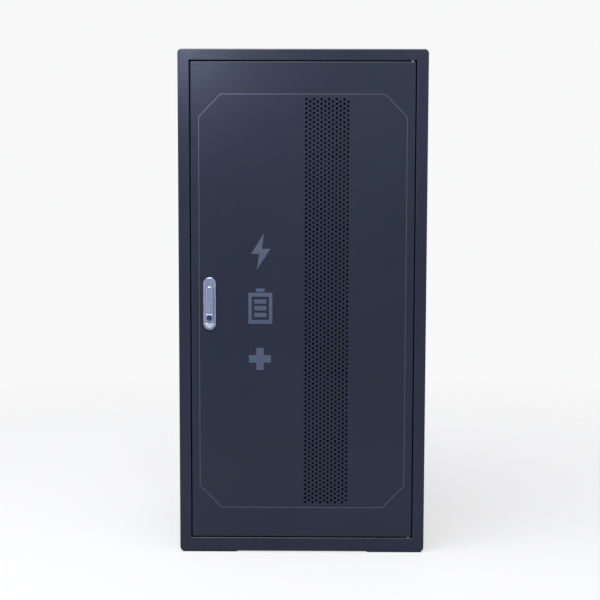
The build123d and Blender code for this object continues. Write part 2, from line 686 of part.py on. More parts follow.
# Data sockets: two a module, each a shell with a rectangular mouth that its plug fills
SOCKET_BACK = -208.0
PLUG_TIP_Y = -214.0
PLUG_SHOULDER_Y = PANEL_FRONT - 7
PLUG_BOOT_R = 4.6
PLUG_GAP = 0.2

with BuildPart() as socket_pair:
    for port_x in (PORT_IN_X, PORT_OUT_X):
        block((port_x - PORT_W / 2, port_x + PORT_W / 2), (PANEL_FRONT - 1, SOCKET_BACK),
              (PORT_Z - PORT_H / 2, PORT_Z + PORT_H / 2))
        block((port_x - PLUG_W / 2 - PLUG_GAP, port_x + PLUG_W / 2 + PLUG_GAP),
              (PANEL_FRONT - 2, PLUG_TIP_Y),
              (PORT_Z - PLUG_H / 2 - PLUG_GAP, PORT_Z + PLUG_H / 2 + PLUG_GAP), Mode.SUBTRACT)

with BuildPart() as data_sockets:
    at_every_module(socket_pair)
data_sockets.part.label = "data_sockets"
export_step(data_sockets.part, "parts/data_sockets.step")

# Plugs of the data leads, and an end-of-line terminator in each of the two spare sockets
with BuildPart() as plug_pair:
    for port_x in (PORT_IN_X, PORT_OUT_X):
        block((port_x - PLUG_W / 2, port_x + PLUG_W / 2), (PLUG_SHOULDER_Y, PLUG_TIP_Y),
              (PORT_Z - PLUG_H / 2, PORT_Z + PLUG_H / 2))
        rod((port_x, PORT_Z), PLUG_BOOT_R, (PLUG_END_Y, PLUG_SHOULDER_Y))

with BuildPart() as data_plugs:
    at_every_module(plug_pair)
data_plugs.part.label = "data_plugs"
export_step(data_plugs.part, "parts/data_plugs.step")

with BuildPart() as data_leads:
    for lower, upper in zip(MODULE_Z[:-1], MODULE_Z[1:]):
        start = (PORT_OUT_X, PLUG_END_Y, upper + PORT_Z)
        with BuildLine() as lead_path:
            FilletPolyline(start, (PORT_OUT_X, COMM_OUT_Y, upper + PORT_Z),
                           (PORT_IN_X, COMM_OUT_Y, lower + PORT_Z),
                           (PORT_IN_X, PLUG_END_Y, lower + PORT_Z), radius=COMM_BEND_R)
        with BuildSketch(Plane(origin=start, z_dir=(0, -1, 0))) as lead_round:
            Circle(COMM_R)
        sweep(path=lead_path.wires()[0])
data_leads.part.label = "data_leads"
export_step(data_leads.part, "parts/data_leads.step")

# Power buttons: a collar fixed in each panel and a plunger that is pushed 1.5 mm in
COLLAR_BACK = -205.0
PLUNGER_BACK = -218.0

with BuildPart() as power_collar:
    centre = (POWER_X, POWER_Z)
    rod(centre, POWER_COLLAR_R, (PANEL_FRONT - 3.0, PANEL_FRONT))
    rod(centre, POWER_R + 1.5, (PANEL_FRONT, COLLAR_BACK))
    rod(centre, POWER_R + RUNNING_GAP, (PANEL_FRONT - 3.0, PLUNGER_BACK + 3), Mode.SUBTRACT)

with BuildPart() as power_collars:
    at_every_module(power_collar)
power_collars.part.label = "power_collars"
export_step(power_collars.part, "parts/power_collars.step")

for number, middle in enumerate(MODULE_Z, start=1):
    with BuildPart() as power_button:
        rod((POWER_X, middle + POWER_Z), POWER_R, (PANEL_FRONT - 5.0, PLUNGER_BACK))
        fillet(power_button.faces().sort_by(Axis.Y)[0].edges(), 0.8)
    power_button.part.label = f"power_button_{number}"
    export_step(power_button.part, f"parts/power_button_{number}.step")

# Rack screws through the module ears, and the cage nuts behind the rails' square holes
SCREW_TIP_Y = -212.0
RACK_SCREW_R = 3.0
NUT_BACK = RAIL_T - RAIL_FACE + 6.5

with BuildPart() as screw_set:
    with BuildSketch(Plane.XZ.offset(3.6 - PANEL_FRONT)) as screw_heads:
        with GridLocations(2 * RACK_HOLE_X, 2 * EAR_SCREW_Z, 2, 2):
            Circle(5.5)
    extrude(amount=-3.6)
    with BuildSketch(Plane.XZ.offset(-PANEL_FRONT)) as screw_shanks:
        with GridLocations(2 * RACK_HOLE_X, 2 * EAR_SCREW_Z, 2, 2):
            Circle(RACK_SCREW_R)
    extrude(amount=PANEL_FRONT - SCREW_TIP_Y)

with BuildPart() as rack_screws:
    at_every_module(screw_set)
rack_screws.part.label = "rack_screws"
export_step(rack_screws.part, "parts/rack_screws.step")

with BuildPart() as nut_set:
    with BuildSketch(Plane.XZ.offset(-NUT_BACK)) as nut_outlines:
        with GridLocations(2 * RACK_HOLE_X, 2 * EAR_SCREW_Z, 2, 2):
            Rectangle(11, 12)
            Circle(RACK_SCREW_R, mode=Mode.SUBTRACT)
    extrude(amount=6.5)

with BuildPart() as cage_nuts:
    at_every_module(nut_set)
cage_nuts.part.label = "cage_nuts"
export_step(cage_nuts.part, "parts/cage_nuts.step")

# ======================================================================================
# Busbars and power leads
# ======================================================================================

BAR_MID_Y = BAR_FRONT_Y + BAR_W / 2
STUD_Z = TERMINAL_Z - STUD_DROP             # above the module's middle
LEAD_END_Z = TERMINAL_Z - LEAD_DROP
OUTGOING_Z = BAR_TOP - 12.0

for side, polarity in ((1, "positive"), (-1, "negative")):
    with BuildPart() as busbar:
        block(span(side, BAR_X, BAR_X + BAR_T), (BAR_FRONT_Y, BAR_FRONT_Y + BAR_W),
              (BAR_BOTTOM, BAR_TOP))
        fillet(busbar.edges().filter_by(Axis.Z), 1.0)
    busbar.part.label = f"busbar_{polarity}"
    export_step(busbar.part, f"parts/busbar_{polarity}.step")

with BuildPart() as busbar_insulators:
    for side in (-1, 1):
        for post_z in POST_Z:
            rod_x((BAR_MID_Y, post_z), 9.0, span(side, BAR_X + BAR_T, HALF_W - SKIN_T))
busbar_insulators.part.label = "busbar_insulators"
export_step(busbar_insulators.part, "parts/busbar_insulators.step")

# M8 studs standing inwards from the bars, each with a flanged nut on its cable lug
with BuildPart() as stud_pair:
    for side in (-1, 1):
        nut_face = BAR_X - LUG_T
        rod_x((LEAD_Y, STUD_Z), STUD_R, span(side, BAR_X - 15, BAR_X))
        rod_x((LEAD_Y, STUD_Z), 8.5, span(side, nut_face - 1.5, nut_face))
        with BuildSketch(Plane.YZ.offset(side * (nut_face - 8))) as nut_outline:
            with Locations((LEAD_Y, STUD_Z)):
                RegularPolygon(7.5, 6)
        extrude(amount=side * 6.5)

EARTH_X = -120.0
EARTH_Y = 250.0
BASE_TOP = BODY_BOTTOM + BASE_T

with BuildPart() as m8_studs:
    at_every_module(stud_pair)
    # longer studs at the tops of the bars, for the outgoing cables
    for side in (-1, 1):
        rod_x((BAR_MID_Y, OUTGOING_Z), STUD_R, span(side, BAR_X - 22, BAR_X))
        rod_x((BAR_MID_Y, OUTGOING_Z), 7.5, span(side, BAR_X - 6, BAR_X))
    # the cabinet's earthing stud, on the base pan
    with BuildSketch(Plane.XY.offset(BASE_TOP)) as earth_nut:
        with Locations((EARTH_X, EARTH_Y)):
            RegularPolygon(7.5, 6)
    extrude(amount=6.5)
    rod_z((EARTH_X, EARTH_Y), STUD_R, (BASE_TOP, BASE_TOP + 22))
m8_studs.part.label = "m8_studs"
export_step(m8_studs.part, "parts/m8_studs.step")

with BuildPart() as lug_pair:
    for side in (-1, 1):
        rod_z((side * LEAD_X, LEAD_Y), LEAD_R + 1.6, (LEAD_END_Z - 20, LEAD_END_Z))
        block(span(side, BAR_X - LUG_T, BAR_X), (LEAD_Y - 9, LEAD_Y + 9), (STUD_Z - 10, LEAD_END_Z - 8))
        rod_x((LEAD_Y, STUD_Z), STUD_R + 0.3, span(side, BAR_X - LUG_T, BAR_X), Mode.SUBTRACT)

with BuildPart() as lead_lugs:
    at_every_module(lug_pair)
lead_lugs.part.label = "lead_lugs"
export_step(lead_lugs.part, "parts/lead_lugs.step")

# Power leads, across from each plug and down to the lug, and their right-angle plugs
for side, polarity in ((1, "positive"), (-1, "negative")):
    with BuildPart() as power_lead:
        start = (side * LEAD_START_X, LEAD_Y, TERMINAL_Z)
        with BuildLine() as lead_path:
            FilletPolyline(start, (side * LEAD_X, LEAD_Y, TERMINAL_Z),
                           (side * LEAD_X, LEAD_Y, LEAD_END_Z), radius=LEAD_BEND_R)
        with BuildSketch(Plane(origin=start, z_dir=(side, 0, 0))) as lead_round:
            Circle(LEAD_R)
        sweep(path=lead_path.wires()[0])
    with BuildPart() as power_leads:
        at_every_module(power_lead)
    power_leads.part.label = f"{polarity}_leads"
    export_step(power_leads.part, f"parts/{polarity}_leads.step")

    with BuildPart() as lead_plug:
        rod((side * TERMINAL_X, TERMINAL_Z), TERMINAL_R, (PLUG_FRONT, PANEL_FRONT - 3.0))
        rod_x((LEAD_Y, TERMINAL_Z), LEAD_R + 3, span(side, TERMINAL_X, LEAD_START_X))
    with BuildPart() as lead_plugs:
        at_every_module(lead_plug)
    lead_plugs.part.label = f"{polarity}_plugs"
    export_step(lead_plugs.part, f"parts/{polarity}_plugs.step")

# ======================================================================================
# Door, seal, hinge and handle
# ======================================================================================

with BuildPart() as door_panel:
    front_plate(DOOR_W, DOOR_H, 2.5, OPENING_MID, (-DOOR_FRONT, -DOOR_BACK))
    fillet(door_panel.faces().sort_by(Axis.Y)[0].edges(), DOOR_EDGE_R)
    front_plate(DOOR_W - 2 * FRAME_T, DOOR_H - 2 * FRAME_T, 1.0, OPENING_MID,
                (FRAME_T - DOOR_FRONT, -DOOR_BACK - FRAME_T), Mode.SUBTRACT)
    front_plate(DOOR_W - 2 * DOOR_RETURN, DOOR_H - 2 * DOOR_RETURN, 1.0, OPENING_MID,
                (-DOOR_BACK - FRAME_T, -DOOR_BACK), Mode.SUBTRACT)
    for flange in ((DOOR_BOTTOM, DOOR_BOTTOM + FRAME_T), (DOOR_TOP - FRAME_T, DOOR_TOP)):
        rod_z((HINGE_X, HINGE_Y), HINGE_PIN_R + RUNNING_GAP, flange, Mode.SUBTRACT)
    # clearance holes behind the handle plate
    rod((HANDLE_X, SPINDLE_Z), SPINDLE_R + 3, (-DOOR_FRONT, FRAME_T - DOOR_FRONT), Mode.SUBTRACT)
    rod((HANDLE_X, BUTTON_Z), STEM_HOLE_R, (-DOOR_FRONT, FRAME_T - DOOR_FRONT), Mode.SUBTRACT)
    with BuildSketch(Plane.XZ.offset(DOOR_FRONT)) as vent_holes:
        strip_mid = VENT_FIRST_X + VENT_COLUMN_STEP * (VENT_COLUMNS - 1) / 2
        for shift, rows in ((-0.5, VENT_ROWS), (0.5, VENT_ROWS - 1)):
            with Locations((strip_mid + shift * VENT_COLUMN_STEP, VENT_MID_Z)):
                with GridLocations(2 * VENT_COLUMN_STEP, VENT_ROW_STEP, VENT_COLUMNS // 2, rows):
                    Circle(VENT_HOLE_R)
    extrude(amount=-FRAME_T, mode=Mode.SUBTRACT)
door_panel.part.label = "door_panel"
export_step(door_panel.part, "parts/door_panel.step")

# Hat-section stiffeners spot-welded behind the door's skin, clear of the perforated strip
STIFFENER_X = (-120.0, 185.0)
STIFFENER_W = 30.0
STIFFENER_D = 17.0
STIFFENER_BRIM = 10.0

with BuildPart() as door_stiffeners:
    skin_back = FRAME_T - DOOR_FRONT
    low = DOOR_BOTTOM + 2 * DOOR_RETURN
    high = DOOR_TOP - 2 * DOOR_RETURN
    for middle_x in STIFFENER_X:
        edges = (middle_x - STIFFENER_W / 2, middle_x + STIFFENER_W / 2)
        block(edges, (skin_back, skin_back + STIFFENER_D), (low, high))
        block((edges[0] + SKIN_T, edges[1] - SKIN_T), (skin_back, skin_back + STIFFENER_D - SKIN_T),
              (low, high), Mode.SUBTRACT)
        block((edges[0] - STIFFENER_BRIM, edges[0] + SKIN_T), (skin_back, skin_back + SKIN_T), (low, high))
        block((edges[1] - SKIN_T, edges[1] + STIFFENER_BRIM), (skin_back, skin_back + SKIN_T), (low, high))
door_stiffeners.part.label = "door_stiffeners"
export_step(door_stiffeners.part, "parts/door_stiffeners.step")

# Rubber seal glued to the door's return flange; it stops 0.3 mm short of the frame's lip
with BuildPart() as door_seal:
    seal_back = STOP_DEPTH - FRAME_T - HALF_D - 0.3
    seal_margin = OPENING_W / 2 - SEAL_OUTER_X
    front_plate(2 * SEAL_OUTER_X, OPENING_H - 2 * seal_margin, 6.0, OPENING_MID, (-DOOR_BACK, seal_back))
    front_plate(2 * (SEAL_OUTER_X - SEAL_W), OPENING_H - 2 * seal_margin - 2 * SEAL_W, 1.0,
                OPENING_MID, (-DOOR_BACK, seal_back), Mode.SUBTRACT)
door_seal.part.label = "door_seal"
export_step(door_seal.part, "parts/door_seal.step")

# Hinge pins: head inside the frame's channel, shoulder in the gap, tip in the door's flange
with BuildPart() as hinge_pins:
    for sign, wall, flange in ((1, OPENING_TOP, DOOR_TOP), (-1, OPENING_BOTTOM, DOOR_BOTTOM)):
        axis = (HINGE_X, HINGE_Y)
        rod_z(axis, HINGE_HEAD_R, sorted((wall + sign * FRAME_T, wall + sign * (FRAME_T + 2))))
        rod_z(axis, HINGE_PIN_R, sorted((wall + sign * FRAME_T, flange - sign * 12)))
        rod_z(axis, HINGE_HEAD_R, sorted((wall, flange + sign * 0.1)))
hinge_pins.part.label = "hinge_pins"
export_step(hinge_pins.part, "parts/hinge_pins.step")

PLATE_FRONT = DOOR_FRONT + PLATE_T
POCKET_FLOOR = PLATE_FRONT - POCKET_D
BUTTON_BACK = POCKET_FLOOR - 0.1


def button_shape(plane_y, gap, reach, mode=Mode.ADD):
    """The release button's outline, round below and straight on top, drawn out by reach."""
    with BuildSketch(Plane.XZ.offset(plane_y)) as outline:
        with Locations((HANDLE_X, BUTTON_MID)):
            Circle(BUTTON_R + gap)
        with Locations((HANDLE_X, BUTTON_TOP + gap + BUTTON_R)):
            Rectangle(3 * BUTTON_R, 2 * BUTTON_R, mode=Mode.SUBTRACT)
    extrude(outline.sketch, amount=reach, mode=mode)


BACKPLATE_W = 28.0
BACKPLATE_T = 2.0
BACKPLATE_Z = (547.0, 672.0)
HOUSING_SCREW_Z = (600.0, 664.0)

with BuildPart() as lock_housing:
    with BuildSketch(Plane.XZ.offset(DOOR_FRONT)) as plate_outline:
        with Locations((HANDLE_X, HANDLE_Z)):
            SlotOverall(PLATE_H, PLATE_W, rotation=90)
    extrude(amount=PLATE_T)
    fillet(lock_housing.faces().sort_by(Axis.Y)[0].edges(), 1.5)
    rod((HANDLE_X, SPINDLE_Z), ROTOR_R + RUNNING_GAP, (-PLATE_FRONT, -DOOR_FRONT), Mode.SUBTRACT)
    with BuildSketch(Plane.XZ.offset(PLATE_FRONT)) as lever_pocket:
        with Locations((HANDLE_X, HANDLE_Z)):
            SlotOverall(PLATE_H - 2 * PLATE_RIM, PLATE_W - 2 * PLATE_RIM, rotation=90)
    extrude(amount=-POCKET_D, mode=Mode.SUBTRACT)
    # deeper pocket that the release button moves in, and the hole for its stem
    button_shape(POCKET_FLOOR, 0.15, -RELEASE_TRAVEL - 0.2, Mode.SUBTRACT)
    rod((HANDLE_X, BUTTON_Z), BUTTON_STEM_R + RUNNING_GAP, (-PLATE_FRONT, -DOOR_FRONT), Mode.SUBTRACT)
lock_housing.part.label = "lock_housing"
export_step(lock_housing.part, "parts/lock_housing.step")

# Backing plate inside the door that clamps the housing
with BuildPart() as lock_backplate:
    back_y = FRAME_T - DOOR_FRONT
    block((HANDLE_X - BACKPLATE_W / 2, HANDLE_X + BACKPLATE_W / 2), (back_y, back_y + BACKPLATE_T),
          BACKPLATE_Z)
    rod((HANDLE_X, SPINDLE_Z), SPINDLE_R + RUNNING_GAP, (back_y, back_y + BACKPLATE_T), Mode.SUBTRACT)
    rod((HANDLE_X, BUTTON_Z), STEM_HOLE_R, (back_y, back_y + BACKPLATE_T), Mode.SUBTRACT)
    for screw_z in HOUSING_SCREW_Z:
        rod((HANDLE_X, screw_z), 4.0, (back_y + BACKPLATE_T, back_y + BACKPLATE_T + 3))
lock_backplate.part.label = "lock_backplate"
export_step(lock_backplate.part, "parts/lock_backplate.step")

# Spindle: rotor disc in the housing, lug and pin for the lever, shaft through the door
with BuildPart() as handle_spindle:
    rod((HANDLE_X, SPINDLE_Z), ROTOR_R, (-POCKET_FLOOR, -DOOR_FRONT - 0.5))
    rod((HANDLE_X, SPINDLE_Z), SPINDLE_R, (-DOOR_FRONT - 0.5, CAM_Y + CAM_T + 1))
    rod_x((LEVER_PIN_Y, LEVER_PIN_Z), LUG_R, (HANDLE_X - LUG_W / 2, HANDLE_X + LUG_W / 2))
    block((HANDLE_X - LUG_W / 2, HANDLE_X + LUG_W / 2), (LEVER_PIN_Y, -POCKET_FLOOR),
          (LEVER_PIN_Z - LUG_R, LEVER_PIN_Z + LUG_R))
    rod_x((LEVER_PIN_Y, LEVER_PIN_Z), LEVER_PIN_R, (HANDLE_X - PIN_HALF, HANDLE_X + PIN_HALF))
handle_spindle.part.label = "handle_spindle"
export_step(handle_spindle.part, "parts/handle_spindle.step")

with BuildPart() as latch_cam:
    with BuildSketch(Plane.XZ.offset(-CAM_Y)) as cam_outline:
        with Locations((HANDLE_X, SPINDLE_Z)):
            Circle(CAM_W / 2)
        with Locations((HANDLE_X - CAM_REACH / 2, SPINDLE_Z)):
            Rectangle(CAM_REACH, CAM_W)
        with Locations((HANDLE_X, SPINDLE_Z)):
            Circle(SPINDLE_R, mode=Mode.SUBTRACT)
    extrude(amount=-CAM_T)
    fillet(latch_cam.edges().filter_by(Axis.Y).group_by(Axis.X)[0], 4.0)
latch_cam.part.label = "latch_cam"
export_step(latch_cam.part, "parts/latch_cam.step")

# Lever: bar with a rounded top, slotted behind for the lug, and bored for the lock cylinder
with BuildPart() as swing_lever:
    with BuildSketch(Plane.XZ.offset(LEVER_BACK)) as lever_outline:
        straight_top = LEVER_TOP - LEVER_W / 2
        with Locations((HANDLE_X, (LEVER_BOTTOM + straight_top) / 2)):
            RectangleRounded(LEVER_W, straight_top - LEVER_BOTTOM, 3.0)
        with Locations((HANDLE_X, straight_top - 4)):
            Rectangle(LEVER_W, 8)
        with Locations((HANDLE_X, straight_top)):
            Circle(LEVER_W / 2)
    extrude(amount=LEVER_FRONT - LEVER_BACK)
    fillet(swing_lever.faces().sort_by(Axis.Y)[0].edges(), 1.5)
    chamfer(swing_lever.faces().sort_by(Axis.Y)[-1].edges().group_by(Axis.Z)[-1], 2.4)
    with BuildSketch(Plane.XZ.offset(LEVER_BACK)) as block_outline:
        with Locations((HANDLE_X, LOCK_Z)):
            RectangleRounded(LOCK_BOSS_W, LOCK_BOSS_W, 2.5)
    extrude(amount=LOCK_FRONT - LEVER_BACK)
    fillet(swing_lever.faces().sort_by(Axis.Y)[0].edges(), 0.4)
    # slot for the lug; behind the pin it runs out through the top, so that the lever can lift
    slot_bottom = LEVER_PIN_Z - LUG_R - LUG_GAP
    with BuildSketch(Plane.YZ.offset(HANDLE_X)) as lug_slot:
        with Locations((LEVER_PIN_Y, LEVER_PIN_Z)):
            Circle(LUG_R + LUG_GAP)
        with Locations((LEVER_PIN_Y - 1, slot_bottom)):
            Rectangle(6, LEVER_TOP + 1 - slot_bottom, align=(Align.MIN, Align.MIN))
    extrude(amount=LUG_W / 2 + LUG_GAP, both=True, mode=Mode.SUBTRACT)
    for side in (-1, 1):
        rod_x((LEVER_PIN_Y, LEVER_PIN_Z), LEVER_PIN_R + RUNNING_GAP,
              sorted((HANDLE_X + side * LUG_W / 2, HANDLE_X + side * (PIN_HALF + LUG_GAP))), Mode.SUBTRACT)
    rod((HANDLE_X, LOCK_Z), LOCK_R + RUNNING_GAP, (-LOCK_FRONT, -LEVER_BACK - 1.0), Mode.SUBTRACT)
swing_lever.part.label = "swing_lever"
export_step(swing_lever.part, "parts/swing_lever.step")

KEYWAY_W = 1.4
KEYWAY_H = 7.6
KEYWAY_DEPTH = 4.0

with BuildPart() as lock_cylinder:
    rod((HANDLE_X, LOCK_Z), LOCK_R, (-LOCK_FRONT, -LEVER_BACK - 1.2))
    block((HANDLE_X - KEYWAY_W / 2, HANDLE_X + KEYWAY_W / 2), (-LOCK_FRONT, KEYWAY_DEPTH - LOCK_FRONT),
          (LOCK_Z - KEYWAY_H / 2, LOCK_Z + KEYWAY_H / 2), Mode.SUBTRACT)
lock_cylinder.part.label = "lock_cylinder"
export_step(lock_cylinder.part, "parts/lock_cylinder.step")

with BuildPart() as release_button:
    button_shape(BUTTON_BACK, 0, BUTTON_T)
    fillet(release_button.faces().sort_by(Axis.Y)[0].edges(), 1.2)
    rod((HANDLE_X, BUTTON_Z), BUTTON_STEM_R, (-BUTTON_BACK, -DOOR_FRONT))
release_button.part.label = "release_button"
export_step(release_button.part, "parts/release_button.step")
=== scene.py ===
import math

import bpy
from mathutils import Matrix, Vector


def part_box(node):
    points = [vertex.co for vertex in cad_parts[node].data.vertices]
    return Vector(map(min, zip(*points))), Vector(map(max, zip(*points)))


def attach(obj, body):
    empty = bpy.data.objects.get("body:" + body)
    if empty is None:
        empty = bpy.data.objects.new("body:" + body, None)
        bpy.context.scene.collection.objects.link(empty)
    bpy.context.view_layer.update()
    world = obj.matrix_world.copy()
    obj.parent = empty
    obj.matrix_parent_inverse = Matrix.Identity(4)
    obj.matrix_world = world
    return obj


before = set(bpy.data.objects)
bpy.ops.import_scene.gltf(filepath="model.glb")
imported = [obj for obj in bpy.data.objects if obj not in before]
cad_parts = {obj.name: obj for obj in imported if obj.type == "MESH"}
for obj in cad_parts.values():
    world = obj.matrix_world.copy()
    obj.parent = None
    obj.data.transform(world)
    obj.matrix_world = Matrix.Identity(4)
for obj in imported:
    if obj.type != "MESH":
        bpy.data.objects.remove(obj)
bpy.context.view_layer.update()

# Everything is in metres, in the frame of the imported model: +Z up, the door faces -Y.
MM = 0.001
DOOR_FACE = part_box("door_panel")[0].y
front_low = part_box("battery_fronts")[0]
MODULES = 6
MODULE_PITCH = 177.8 * MM
FIRST_MODULE = front_low.z + 85 * MM
MODULE_Z = [FIRST_MODULE + n * MODULE_PITCH for n in range(MODULES)]


# ------------------------------------------------------------------------------------
# Materials
# ------------------------------------------------------------------------------------

def new_material(name, color, roughness, metallic=0.0, specular=0.5):
    """A material with a Principled shader, whose constant values sit on its own sockets."""
    material = bpy.data.materials.new(name)
    material.use_nodes = True
    shader = material.node_tree.nodes["Principled BSDF"]
    shader.inputs["Base Color"].default_value = (*color, 1.0)
    shader.inputs["Roughness"].default_value = roughness
    shader.inputs["Metallic"].default_value = metallic
    shader.inputs["Specular IOR Level"].default_value = specular
    return material, material.node_tree, shader


def place(tree, scale=(1, 1, 1)):
    """Object coordinates in metres, stretched by scale."""
    coordinates = tree.nodes.new("ShaderNodeTexCoord")
    mapping = tree.nodes.new("ShaderNodeMapping")
    mapping.inputs["Scale"].default_value = scale
    tree.links.new(coordinates.outputs["Object"], mapping.inputs["Vector"])
    return mapping.outputs["Vector"]


def noise(tree, vector, scale, detail=2.0, roughness=0.5):
    """A noise texture's grey output; scale is in waves a metre."""
    texture = tree.nodes.new("ShaderNodeTexNoise")
    texture.inputs["Scale"].default_value = scale
    texture.inputs["Detail"].default_value = detail
    texture.inputs["Roughness"].default_value = roughness
    tree.links.new(vector, texture.inputs["Vector"])
    return texture.outputs["Fac"]


def spread(tree, value, low, high, target):
    """Maps a grey value onto the range low to high and links it to target."""
    node = tree.nodes.new("ShaderNodeMapRange")
    node.inputs["From Min"].default_value = 0.3
    node.inputs["From Max"].default_value = 0.7
    node.inputs["To Min"].default_value = low
    node.inputs["To Max"].default_value = high
    tree.links.new(value, node.inputs["Value"])
    tree.links.new(node.outputs["Result"], target)


def tint(tree, value, first, second, target, low=0.35, high=0.65):
    """Blends two colours by a grey value and links the result to target."""
    ramp = tree.nodes.new("ShaderNodeValToRGB")
    ramp.color_ramp.elements[0].position = low
    ramp.color_ramp.elements[0].color = (*first, 1.0)
    ramp.color_ramp.elements[1].position = high
    ramp.color_ramp.elements[1].color = (*second, 1.0)
    tree.links.new(value, ramp.inputs["Fac"])
    tree.links.new(ramp.outputs["Color"], target)


def bump(tree, value, shader, strength, distance):
    """Relief from a grey value; distance is in metres."""
    node = tree.nodes.new("ShaderNodeBump")
    node.inputs["Strength"].default_value = strength
    node.inputs["Distance"].default_value = distance
    tree.links.new(value, node.inputs["Height"])
    tree.links.new(node.outputs["Normal"], shader.inputs["Normal"])


def powder_coat(name, color, lighter, rough=(0.31, 0.37), specular=0.35):
    """Satin powder coat: a fine orange peel, faint clouding and slightly uneven gloss."""
    material, tree, shader = new_material(name, color, rough[0], specular=specular)
    vector = place(tree)
    clouds = noise(tree, vector, 5.0, 3.0)
    tint(tree, clouds, color, lighter, shader.inputs["Base Color"])
    spread(tree, noise(tree, vector, 30.0, 4.0), rough[0], rough[1], shader.inputs["Roughness"])
    bump(tree, noise(tree, vector, 900.0, 3.0, 0.6), shader, 0.18, 0.00012)
    return material


def cast_metal(name, color, lighter, rough=(0.26, 0.36)):
    """Satin plated die-casting: soft metallic sheen with a faint mottle."""
    material, tree, shader = new_material(name, color, rough[0], metallic=1.0)
    vector = place(tree)
    tint(tree, noise(tree, vector, 160.0, 4.0), color, lighter, shader.inputs["Base Color"])
    spread(tree, noise(tree, vector, 420.0, 3.0), rough[0], rough[1], shader.inputs["Roughness"])
    bump(tree, noise(tree, vector, 1600.0, 2.0), shader, 0.12, 0.00006)
    return material


def zinc_sheet(name):
    """Galvanised sheet: crystal spangle of slightly different greys and gloss."""
    material, tree, shader = new_material(name, (0.46, 0.47, 0.48), 0.4, metallic=1.0)
    vector = place(tree)
    spangle = tree.nodes.new("ShaderNodeTexVoronoi")
    spangle.inputs["Scale"].default_value = 110.0
    tree.links.new(vector, spangle.inputs["Vector"])
    tint(tree, spangle.outputs["Color"], (0.36, 0.37, 0.38), (0.56, 0.57, 0.58),
         shader.inputs["Base Color"], 0.2, 0.8)
    spread(tree, noise(tree, vector, 45.0, 4.0), 0.32, 0.5, shader.inputs["Roughness"])
    bump(tree, noise(tree, vector, 700.0), shader, 0.1, 0.0001)
    return material


def turned_steel(name, color=(0.62, 0.62, 0.63), rough=(0.16, 0.3), grain=(1, 1, 1)):
    """Bright plated or drawn steel, with fine drawing lines along the stretched direction."""
    material, tree, shader = new_material(name, color, rough[0], metallic=1.0)
    lines = noise(tree, place(tree, grain), 500.0, 3.0)
    darker = tuple(0.8 * part for part in color)
    tint(tree, lines, darker, color, shader.inputs["Base Color"])
    spread(tree, lines, rough[0], rough[1], shader.inputs["Roughness"])
    bump(tree, lines, shader, 0.08, 0.00005)
    return material


def copper(name):
    """Bare bar copper with light tarnish."""
    material, tree, shader = new_material(name, (0.80, 0.40, 0.24), 0.3, metallic=1.0)
    vector = place(tree, (1, 1, 0.3))
    tint(tree, noise(tree, vector, 26.0, 5.0), (0.46, 0.22, 0.13), (0.86, 0.46, 0.29),
         shader.inputs["Base Color"])
    spread(tree, noise(tree, vector, 120.0, 3.0), 0.22, 0.46, shader.inputs["Roughness"])
    bump(tree, noise(tree, place(tree, (1, 1, 0.05)), 1200.0), shader, 0.1, 0.00005)
    return material


def moulded(name, color, lighter, rough=(0.42, 0.56), grain=1300.0, depth=0.00008):
    """Moulded plastic with a spark-eroded grain."""
    material, tree, shader = new_material(name, color, rough[0], specular=0.45)
    vector = place(tree)
    tint(tree, noise(tree, vector, 60.0, 3.0), color, lighter, shader.inputs["Base Color"])
    spread(tree, noise(tree, vector, 200.0, 3.0), rough[0], rough[1], shader.inputs["Roughness"])
    bump(tree, noise(tree, vector, grain, 2.0), shader, 0.25, depth)
    return material


def circuit_board(name):
    """Solder-masked board: green lacquer over a faint pattern of tracks and pads."""
    material, tree, shader = new_material(name, (0.015, 0.14, 0.055), 0.3)
    vector = place(tree)
    tracks = tree.nodes.new("ShaderNodeTexVoronoi")
    tracks.distance = "CHEBYCHEV"
    tracks.inputs["Scale"].default_value = 130.0
    tree.links.new(vector, tracks.inputs["Vector"])
    tint(tree, tracks.outputs["Distance"], (0.03, 0.26, 0.11), (0.01, 0.11, 0.045),
         shader.inputs["Base Color"], 0.2, 0.5)
    bump(tree, tracks.outputs["Distance"], shader, 0.2, 0.0001)
    return material


def cell_film(name):
    """Blue film shrunk over the cell cans, with shallow wrinkles."""
    material, tree, shader = new_material(name, (0.05, 0.16, 0.42), 0.3)
    vector = place(tree, (1, 1, 0.25))
    wrinkles = noise(tree, vector, 90.0, 4.0)
    tint(tree, wrinkles, (0.035, 0.12, 0.34), (0.07, 0.21, 0.5), shader.inputs["Base Color"])
    spread(tree, wrinkles, 0.22, 0.38, shader.inputs["Roughness"])
    bump(tree, wrinkles, shader, 0.2, 0.0003)
    return material


def glow(name, color, strength):
    """A lit indicator behind a diffusing window, its brightness faintly mottled."""
    material, tree, shader = new_material(name, color, 0.35)
    shader.inputs["Emission Strength"].default_value = strength
    dim = tuple(0.75 * part for part in color)
    tint(tree, noise(tree, place(tree), 300.0, 2.0), dim, color, shader.inputs["Emission Color"])
    return material


